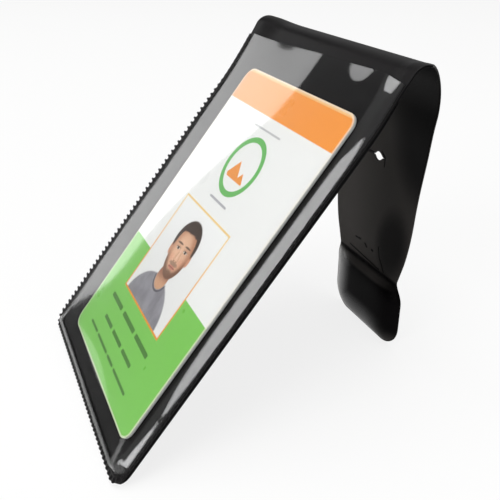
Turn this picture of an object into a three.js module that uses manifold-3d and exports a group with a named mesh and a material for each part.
// Vertical badge holder: a clear pocket for a card, a soft bend at the top and a rear tongue with a magnet tab.
// Millimetres, +Z up, front towards -Y. It stands like an easel on the foot of its panel and on its tab.
import * as THREE from 'three';
import { mergeVertices } from 'three/addons/utils/BufferGeometryUtils.js';
import Module from 'manifold-3d';

const wasm = await Module();
wasm.setup();

// Card in the pocket
const CARD_WIDTH = 53.98;
const CARD_LENGTH = 85.6;
const CARD_THICKNESS = 0.76;
const CARD_CORNER = 3.18;

// Plies of vinyl and film, and the gap that is left between two welded plies
const SHEET = 0.5;
const LINING = 0.4;
const FILM = 0.3;
const PLY_GAP = 0.2;

// Welded border round the pocket: a rail with a row of teeth outside it
const WELD_BORDER = 2.8;
const TOOTH_PITCH = 1.45;
const TOOTH_WIDTH = 0.75;
const TOOTH_LENGTH = 1.5;
const TOOTH_OUT = 0.35;
const TOOTH_HEIGHT = 0.25;
const RAIL_WIDTH = 0.5;
const RAIL_INSET = 0.3;

// Pocket and panel
const FILM_SLOPE = 2.2;
const POCKET_PLAY = 4.1;
const CARD_MARGIN = 0.96;
const FOOT_PLAY = 2.3;
const HEAD_ROOM = 5.9;
const WINDOW_OVERHANG = 2.2;
const PANEL_CORNER = 3.5;
const PANEL_LEAN = THREE.MathUtils.degToRad(50.6);

// Top of the sheet: a tight crease over the panel, then a wide soft bend, cut into strips at its bend lines
const HEAD_STRIP = 6;
const CREASE_RADIUS = 3.4;
const BEND_RADIUS = 14.8;
const BEND_LINES = 3;
const LAST_LINE = 0.8;
const SLIT = 0.3;
const BEND_STEP = THREE.MathUtils.degToRad(3.5);

// Tongue behind the panel: full widths, and lengths along the sheet
const SHOULDER_START = 1.1;
const SHOULDER_LENGTH = 22.2;
const TONGUE_ROOT = 45;
const TONGUE_WAIST = 37.6;
const WAIST_RISE = 19;
const NOTCH_WIDTH = 28.8;
const SLOT_LENGTH = 9;
const SLOT_WIDTH = 2.4;
const SLOT_RISE = 52.2;
const EDGE_STEP = 1.6;

// Magnet tab at the end of the tongue
const MAGNET_WIDTH = 24;
const MAGNET_HEIGHT = 11.8;
const MAGNET_THICKNESS = 1.5;
const MAGNET_PLAY = 0.3;
const TAB_BORDER = 2;
const TAB_SLOPE = 1.8;
const TAB_CORNER = 7;
const TAB_SLIT = 0.4;
const TAB_SKIN = 0.4;
const TAB_SHIFT = 1;

// Steel keeper between the sheet and the rear lining
const KEEPER_WIDTH = 30;
const KEEPER_HEIGHT = 14;
const KEEPER_THICKNESS = 0.6;
const KEEPER_PLAY = 0.3;
const KEEPER_SLOPE = 3;
const KEEPER_CORNER = 1.5;

// Sizes worked out from those above
const pocketEdge = WELD_BORDER + FILM_SLOPE;
const panelWidth = CARD_WIDTH + 2 * (pocketEdge + POCKET_PLAY);
const panelFlat = pocketEdge + FOOT_PLAY + CARD_LENGTH + HEAD_ROOM;
const windowTop = panelFlat + WINDOW_OVERHANG;
const cardBack = PLY_GAP;
const cardShift = POCKET_PLAY - CARD_MARGIN;
const filmRise = CARD_THICKNESS + PLY_GAP;
const footRise = (SHEET + PLY_GAP + LINING) * Math.cos(PANEL_LEAN);
const tabWidth = MAGNET_WIDTH + 2 * (MAGNET_PLAY + TAB_SLOPE + TAB_BORDER);
const tabLength = MAGNET_HEIGHT + 2 * (MAGNET_PLAY + TAB_SLOPE + TAB_BORDER);

// Line of the sheet seen from the side: up the panel, round the bend and down the tongue, at mid thickness
const creaseStart = panelFlat + HEAD_STRIP;
const creaseEnd = creaseStart + CREASE_RADIUS * PANEL_LEAN;
const bendEnd = creaseEnd + BEND_RADIUS * Math.PI / 2;
const along = new THREE.Vector3(0, Math.cos(PANEL_LEAN), Math.sin(PANEL_LEAN));
const outward = new THREE.Vector3(0, -Math.sin(PANEL_LEAN), Math.cos(PANEL_LEAN));
const panelFoot = new THREE.Vector3(0, 0, footRise);
const sheetFoot = panelFoot.clone().addScaledVector(outward, -SHEET / 2);
const creaseCentre = sheetFoot.clone().addScaledVector(along, creaseStart).addScaledVector(outward, -CREASE_RADIUS);
const bendCentre = creaseCentre.clone().add(new THREE.Vector3(0, 0, CREASE_RADIUS - BEND_RADIUS));
const tongueDrop = bendCentre.z;
const sheetEnd = bendEnd + tongueDrop;
const notch = sheetEnd - tabLength - TAB_SLIT / 2;

function sheetPoint(s) {
  if (s <= creaseStart) {
    return { at: sheetFoot.clone().addScaledVector(along, s), normal: outward.clone() };
  }
  if (s >= bendEnd) {
    const at = new THREE.Vector3(0, bendCentre.y + BEND_RADIUS, bendCentre.z - (s - bendEnd));
    return { at, normal: new THREE.Vector3(0, 1, 0) };
  }
  const creased = s <= creaseEnd;
  const tilt = creased ? PANEL_LEAN - (s - creaseStart) / CREASE_RADIUS : (creaseEnd - s) / BEND_RADIUS;
  const normal = new THREE.Vector3(0, -Math.sin(tilt), Math.cos(tilt));
  const at = creased ? creaseCentre.clone() : bendCentre.clone();
  return { at: at.addScaledVector(normal, creased ? CREASE_RADIUS : BEND_RADIUS), normal };
}

// Right edge of the flat pattern, from the panel's foot to the notch above the tab
function flatEdge() {
  const half = panelWidth / 2;
  const shoulder = creaseEnd + SHOULDER_START;
  const root = shoulder + SHOULDER_LENGTH;
  const waist = notch - WAIST_RISE;
  const edge = new THREE.Path();
  edge.moveTo(0, half - PANEL_CORNER);
  edge.absarc(PANEL_CORNER, half - PANEL_CORNER, PANEL_CORNER, Math.PI, Math.PI / 2, true);
  edge.lineTo(shoulder, half);
  edge.bezierCurveTo(
    shoulder + 0.2 * SHOULDER_LENGTH, THREE.MathUtils.lerp(half, TONGUE_ROOT / 2, 0.45),
    shoulder + 0.55 * SHOULDER_LENGTH, THREE.MathUtils.lerp(half, TONGUE_ROOT / 2, 0.9),
    root, TONGUE_ROOT / 2,
  );
  edge.quadraticCurveTo(
    THREE.MathUtils.lerp(root, waist, 0.4), THREE.MathUtils.lerp(TONGUE_ROOT, TONGUE_WAIST, 0.65) / 2,
    waist, TONGUE_WAIST / 2,
  );
  edge.quadraticCurveTo(
    waist + 0.45 * WAIST_RISE, THREE.MathUtils.lerp(TONGUE_WAIST, NOTCH_WIDTH, 0.18) / 2,
    notch, NOTCH_WIDTH / 2,
  );
  return edge.getPoints(24);
}

const edgePoints = flatEdge();

function halfWidth(s) {
  const next = edgePoints.findIndex((point, i) => i > 0 && point.x >= s);
  const last = edgePoints.length - 1;
  const hi = edgePoints[next < 0 ? last : next];
  const lo = edgePoints[next < 0 ? last - 1 : next - 1];
  const share = (s - lo.x) / (hi.x - lo.x);
  return THREE.MathUtils.lerp(lo.y, hi.y, THREE.MathUtils.clamp(share, 0, 1));
}

// Bar of sheet lofted through rectangles: left and right outside, then right and left inside
function loft(sections) {
  const positions = sections.flatMap((section) => section.flatMap((corner) => corner.toArray()));
  const triangles = [];
  for (let i = 0; i + 1 < sections.length; i += 1) {
    for (let j = 0; j < 4; j += 1) {
      const a = 4 * i + j;
      const b = 4 * i + (j + 1) % 4;
      triangles.push(a, b, b + 4, a, b + 4, a + 4);
    }
  }
  const end = 4 * (sections.length - 1);
  triangles.push(0, 3, 2, 0, 2, 1);
  triangles.push(end, end + 1, end + 2, end, end + 2, end + 3);
  const geometry = new THREE.BufferGeometry();
  geometry.setAttribute('position', new THREE.Float32BufferAttribute(positions, 3));
  geometry.setIndex(triangles);
  return geometry;
}

// Places along a stretch of the sheet where its outline or its line needs a section
function stations(from, to) {
  const places = [from, to];
  const inside = (s) => s > from + 0.05 && s < to - 0.05;
  for (const [start, end, turn] of [[creaseStart, creaseEnd, PANEL_LEAN], [creaseEnd, bendEnd, Math.PI / 2]]) {
    const steps = Math.ceil(turn / BEND_STEP);
    for (let i = 0; i <= steps; i += 1) {
      places.push(THREE.MathUtils.lerp(start, end, i / steps));
    }
  }
  for (let s = bendEnd + EDGE_STEP; s < notch; s += EDGE_STEP) {
    places.push(s);
  }
  for (const point of edgePoints) {
    if (point.x <= PANEL_CORNER) {
      places.push(point.x);
    }
  }
  const sorted = places.filter((s, i) => i < 2 || inside(s)).sort((a, b) => a - b);
  return sorted.filter((s, i) => i === 0 || s - sorted[i - 1] > 0.02);
}

function sheetPiece(from, to) {
  return loft(stations(from, to).map((s) => {
    const { at, normal } = sheetPoint(s);
    const half = halfWidth(s);
    const corner = (x, out) => at.clone().addScaledVector(normal, out * SHEET / 2).setX(x * half);
    return [corner(-1, 1), corner(1, 1), corner(1, -1), corner(-1, -1)];
  }));
}

// Sheet of even thickness over a grid, raised where rise says
function draped(xs, ys, rise, thickness) {
  const positions = [];
  for (const lift of [thickness, 0]) {
    for (const y of ys) {
      for (const x of xs) {
        positions.push(x, y, rise(x, y) + lift);
      }
    }
  }
  const columns = xs.length;
  const layer = columns * ys.length;
  const triangles = [];
  for (let j = 0; j + 1 < ys.length; j += 1) {
    for (let i = 0; i + 1 < columns; i += 1) {
      const a = j * columns + i;
      const c = a + columns + 1;
      triangles.push(a, a + 1, c, a, c, a + columns);
      triangles.push(layer + a, layer + c, layer + a + 1, layer + a, layer + a + columns, layer + c);
    }
  }
  const rim = [];
  for (let i = 0; i < columns; i += 1) rim.push(i);
  for (let j = 1; j < ys.length; j += 1) rim.push(j * columns + columns - 1);
  for (let i = columns - 2; i >= 0; i -= 1) rim.push((ys.length - 1) * columns + i);
  for (let j = ys.length - 2; j > 0; j -= 1) rim.push(j * columns);
  rim.forEach((a, k) => {
    const b = rim[(k + 1) % rim.length];
    triangles.push(a, layer + a, layer + b, a, layer + b, b);
  });
  const geometry = new THREE.BufferGeometry();
  geometry.setAttribute('position', new THREE.Float32BufferAttribute(positions, 3));
  geometry.setIndex(triangles);
  return geometry;
}

// Grid lines over a span, with close ones on the slope at either end
function slopeLines(low, high, border, slope, steps = 4) {
  const lines = [low];
  for (let i = 0; i <= steps; i += 1) {
    lines.push(low + border + slope * i / steps);
  }
  for (let i = steps; i >= 0; i -= 1) {
    lines.push(high - border - slope * i / steps);
  }
  lines.push(high);
  return lines;
}

// Share of the full rise at a distance inside the edge of a raised field
function ramp(inside, border, slope) {
  return THREE.MathUtils.smoothstep(inside, border, border + slope);
}

function solid(geometry) {
  const bare = geometry.clone();
  bare.deleteAttribute('normal');
  bare.deleteAttribute('uv');
  const merged = mergeVertices(bare, 1e-5);
  return new wasm.Manifold(new wasm.Mesh({
    numProp: 3,
    vertProperties: new Float32Array(merged.attributes.position.array),
    triVerts: new Uint32Array(merged.index.array),
  }));
}

function geometryOf(body) {
  const mesh = body.getMesh();
  const geometry = new THREE.BufferGeometry();
  geometry.setAttribute('position', new THREE.Float32BufferAttribute(mesh.vertProperties, 3));
  geometry.setIndex(Array.from(mesh.triVerts));
  return geometry;
}

function roundedOutline(left, bottom, right, top, lowCorner, highCorner) {
  const shape = new THREE.Shape();
  shape.moveTo(left + lowCorner, bottom);
  shape.lineTo(right - lowCorner, bottom);
  shape.absarc(right - lowCorner, bottom + lowCorner, lowCorner, -Math.PI / 2, 0, false);
  shape.lineTo(right, top - highCorner);
  if (highCorner > 0) {
    shape.absarc(right - highCorner, top - highCorner, highCorner, 0, Math.PI / 2, false);
    shape.lineTo(left + highCorner, top);
    shape.absarc(left + highCorner, top - highCorner, highCorner, Math.PI / 2, Math.PI, false);
  } else {
    shape.lineTo(left, top);
  }
  shape.lineTo(left, bottom + lowCorner);
  shape.absarc(left + lowCorner, bottom + lowCorner, lowCorner, Math.PI, 1.5 * Math.PI, false);
  return shape;
}

function extruded(shape, depth, curveSegments = 6) {
  return new THREE.ExtrudeGeometry(shape, { depth, bevelEnabled: false, curveSegments });
}

// Cuts a draped sheet to an outline
function trimmed(sheet, outline, reach) {
  const cutter = extruded(outline, 2 * reach).translate(0, 0, -reach);
  return solid(sheet).intersect(solid(cutter));
}

// Teeth and rail pressed into the weld along the two sides and the foot of the window
function weldBars() {
  const half = panelWidth / 2;
  const top = PLY_GAP + FILM + TOOTH_HEIGHT;
  const low = PLY_GAP + FILM / 2;
  const bar = (x0, x1, y0, y1) => {
    const box = new THREE.BoxGeometry(x1 - x0, y1 - y0, top - low);
    return solid(box.translate((x0 + x1) / 2, (y0 + y1) / 2, (low + top) / 2));
  };
  const toothIn = half + TOOTH_OUT - TOOTH_LENGTH;
  const railOut = toothIn - RAIL_INSET;
  const railIn = railOut - RAIL_WIDTH;
  const railFoot = half - railOut;
  const bars = [
    bar(-railOut, -railIn, railFoot, windowTop),
    bar(railIn, railOut, railFoot, windowTop),
    bar(-railOut, railOut, railFoot, railFoot + RAIL_WIDTH),
  ];
  const sideRun = windowTop - 2 * PANEL_CORNER;
  const sideTeeth = Math.floor(sideRun / TOOTH_PITCH);
  for (let i = 0; i < sideTeeth; i += 1) {
    const y = PANEL_CORNER + TOOTH_PITCH * (i + 0.5);
    bars.push(bar(-half - TOOTH_OUT, -toothIn, y, y + TOOTH_WIDTH));
    bars.push(bar(toothIn, half + TOOTH_OUT, y, y + TOOTH_WIDTH));
  }
  const footTeeth = Math.floor((panelWidth - 2 * PANEL_CORNER) / TOOTH_PITCH);
  const footStart = -TOOTH_PITCH * footTeeth / 2 + (TOOTH_PITCH - TOOTH_WIDTH) / 2;
  for (let i = 0; i < footTeeth; i += 1) {
    const x = footStart + TOOTH_PITCH * i;
    bars.push(bar(x, x + TOOTH_WIDTH, half - toothIn - TOOTH_LENGTH + TOOTH_OUT, half - toothIn));
  }
  return bars;
}

// Clear film, welded flat round three sides and standing off the sheet over the card
function windowGeometry() {
  const half = panelWidth / 2;
  const rise = (x, y) => PLY_GAP + filmRise * Math.min(
    ramp(half - Math.abs(x), WELD_BORDER, FILM_SLOPE),
    ramp(y, WELD_BORDER, FILM_SLOPE),
  );
  const xs = slopeLines(-half, half, WELD_BORDER, FILM_SLOPE);
  const ys = slopeLines(0, 2 * windowTop, WELD_BORDER, FILM_SLOPE).filter((y) => y < windowTop);
  ys.push(windowTop);
  const outline = roundedOutline(-half, 0, half, windowTop, PANEL_CORNER, 0);
  const film = trimmed(draped(xs, ys, rise, FILM), outline, filmRise + FILM + 1);
  return geometryOf(wasm.Manifold.union([film, ...weldBars()]));
}

// Rear ply of the panel, with a raised pad over the keeper; it is drawn facing the rear
const keeperCentre = panelFlat - tongueDrop + tabLength / 2;

function liningGeometry() {
  const half = panelWidth / 2;
  const padX = KEEPER_WIDTH / 2 + KEEPER_PLAY + KEEPER_SLOPE;
  const padY = KEEPER_HEIGHT / 2 + KEEPER_PLAY + KEEPER_SLOPE;
  const lift = KEEPER_THICKNESS + PLY_GAP;
  const rise = (x, y) => lift * Math.min(
    ramp(padX - Math.abs(x), 0, KEEPER_SLOPE),
    ramp(padY - Math.abs(y - keeperCentre), 0, KEEPER_SLOPE),
  );
  const xs = [-half, ...slopeLines(-padX, padX, 0, KEEPER_SLOPE).slice(1, -1), half];
  const padLines = slopeLines(keeperCentre - padY, keeperCentre + padY, 0, KEEPER_SLOPE).slice(1, -1);
  const ys = [0, ...padLines, panelFlat];
  const outline = roundedOutline(-half, 0, half, panelFlat, PANEL_CORNER, 0);
  return geometryOf(trimmed(draped(xs, ys, rise, LINING), outline, lift + LINING + 1));
}

function tongueGeometry() {
  const piece = sheetPiece(lineAt(BEND_LINES) + SLIT / 2, notch - TAB_SLIT / 2);
  const round = SLOT_WIDTH / 2;
  const reach = SLOT_LENGTH / 2;
  const outline = roundedOutline(-reach, -round, reach, round, round, round);
  const cutter = extruded(outline, 4 * SHEET, 8).translate(0, 0, -2 * SHEET).rotateX(Math.PI / 2);
  cutter.translate(0, bendCentre.y + BEND_RADIUS, SLOT_RISE);
  return geometryOf(solid(piece).subtract(solid(cutter)));
}

const tabOutline = () => roundedOutline(-tabWidth / 2, 0, tabWidth / 2, tabLength, TAB_CORNER, TAB_CORNER / 2);

// Front skin of the tab, raised over the magnet; its edge is welded to the skin behind it
function tabFrontGeometry() {
  const half = tabWidth / 2;
  const lift = MAGNET_THICKNESS + PLY_GAP;
  const rise = (x, y) => lift * Math.min(
    ramp(half - Math.abs(x), TAB_BORDER, TAB_SLOPE),
    ramp(Math.min(y, tabLength - y), TAB_BORDER, TAB_SLOPE),
  );
  const xs = slopeLines(-half, half, TAB_BORDER, TAB_SLOPE);
  const ys = slopeLines(0, tabLength, TAB_BORDER, TAB_SLOPE);
  return geometryOf(trimmed(draped(xs, ys, rise, TAB_SKIN), tabOutline(), lift + TAB_SKIN + 1));
}

function lineAt(i) {
  const first = (creaseStart + creaseEnd) / 2;
  const last = THREE.MathUtils.lerp(creaseEnd, bendEnd, LAST_LINE);
  return THREE.MathUtils.lerp(first, last, (i - 1) / (BEND_LINES - 1));
}

const vinyl = { color: 0x141416, roughness: 0.38, metalness: 0 };
const clear = { color: 0xdfe6ea, roughness: 0.08, metalness: 0, transparent: true, opacity: 0.35 };
const cardStock = { color: 0xf4f3ef, roughness: 0.3, metalness: 0 };
const steel = { color: 0x9a9c9f, roughness: 0.35, metalness: 1 };

function piece(parent, name, geometry, look) {
  const mesh = new THREE.Mesh(geometry, new THREE.MeshStandardMaterial(look));
  mesh.name = name;
  parent.add(mesh);
  return mesh;
}

const holder = new THREE.Group();

// One die-cut sheet: panel, bend and tongue, divided where it bends
piece(holder, 'back_sheet', sheetPiece(0, lineAt(1) - SLIT / 2), vinyl);
for (let i = 1; i < BEND_LINES; i += 1) {
  piece(holder, `bend_strip_${i}`, sheetPiece(lineAt(i) + SLIT / 2, lineAt(i + 1) - SLIT / 2), vinyl);
}
piece(holder, 'tongue', tongueGeometry(), vinyl);

// Pieces that lie on the panel: x to the right, y up the panel, z out of its front
const panel = new THREE.Group();
panel.position.copy(panelFoot);
panel.rotation.x = PANEL_LEAN;
holder.add(panel);

piece(panel, 'window', windowGeometry(), clear);

const cardOutline = roundedOutline(
  -CARD_WIDTH / 2, 0, CARD_WIDTH / 2, CARD_LENGTH, CARD_CORNER, CARD_CORNER,
);
const card = piece(panel, 'id_card', extruded(cardOutline, CARD_THICKNESS, 8), cardStock);
card.position.set(cardShift, pocketEdge + FOOT_PLAY, cardBack);

const lining = piece(panel, 'rear_lining', liningGeometry(), vinyl);
lining.rotation.y = Math.PI;
lining.position.z = -SHEET - PLY_GAP;

const keeperOutline = roundedOutline(
  -KEEPER_WIDTH / 2, -KEEPER_HEIGHT / 2, KEEPER_WIDTH / 2, KEEPER_HEIGHT / 2, KEEPER_CORNER, KEEPER_CORNER,
);
const keeper = piece(panel, 'keeper_plate', extruded(keeperOutline, KEEPER_THICKNESS), steel);
keeper.position.set(0, keeperCentre, -SHEET - PLY_GAP - KEEPER_THICKNESS);

// Tab: x to the right, y up, z towards the panel
const tab = new THREE.Group();
tab.position.x = TAB_SHIFT;
tab.position.y = bendCentre.y + BEND_RADIUS;
tab.rotation.x = Math.PI / 2;
holder.add(tab);

const tabBack = piece(tab, 'tab_back', extruded(tabOutline(), SHEET), vinyl);
tabBack.position.z = -SHEET / 2;
const tabFront = piece(tab, 'tab_front', tabFrontGeometry(), vinyl);
tabFront.position.z = SHEET / 2 + PLY_GAP;

const magnetOutline = roundedOutline(
  -MAGNET_WIDTH / 2, -MAGNET_HEIGHT / 2, MAGNET_WIDTH / 2, MAGNET_HEIGHT / 2, KEEPER_CORNER, KEEPER_CORNER,
);
const magnet = piece(tab, 'tab_magnet', extruded(magnetOutline, MAGNET_THICKNESS), steel);
magnet.position.set(0, tabLength / 2, SHEET / 2 + PLY_GAP);

// The origin lies on the surface that it stands on, under the middle of its box
const box = new THREE.Box3().setFromObject(holder, true);
holder.position.y = -(box.min.y + box.max.y) / 2;

// Lines that the pieces turn about, and the way that the card slides
const turnsAt = (s) => sheetPoint(s).at.add(holder.position).toArray();
holder.userData.bendLines = Array.from({ length: BEND_LINES }, (_, i) => turnsAt(lineAt(i + 1)));
holder.userData.tabLine = turnsAt(notch);
holder.userData.cardSlide = along.toArray();

export default holder;
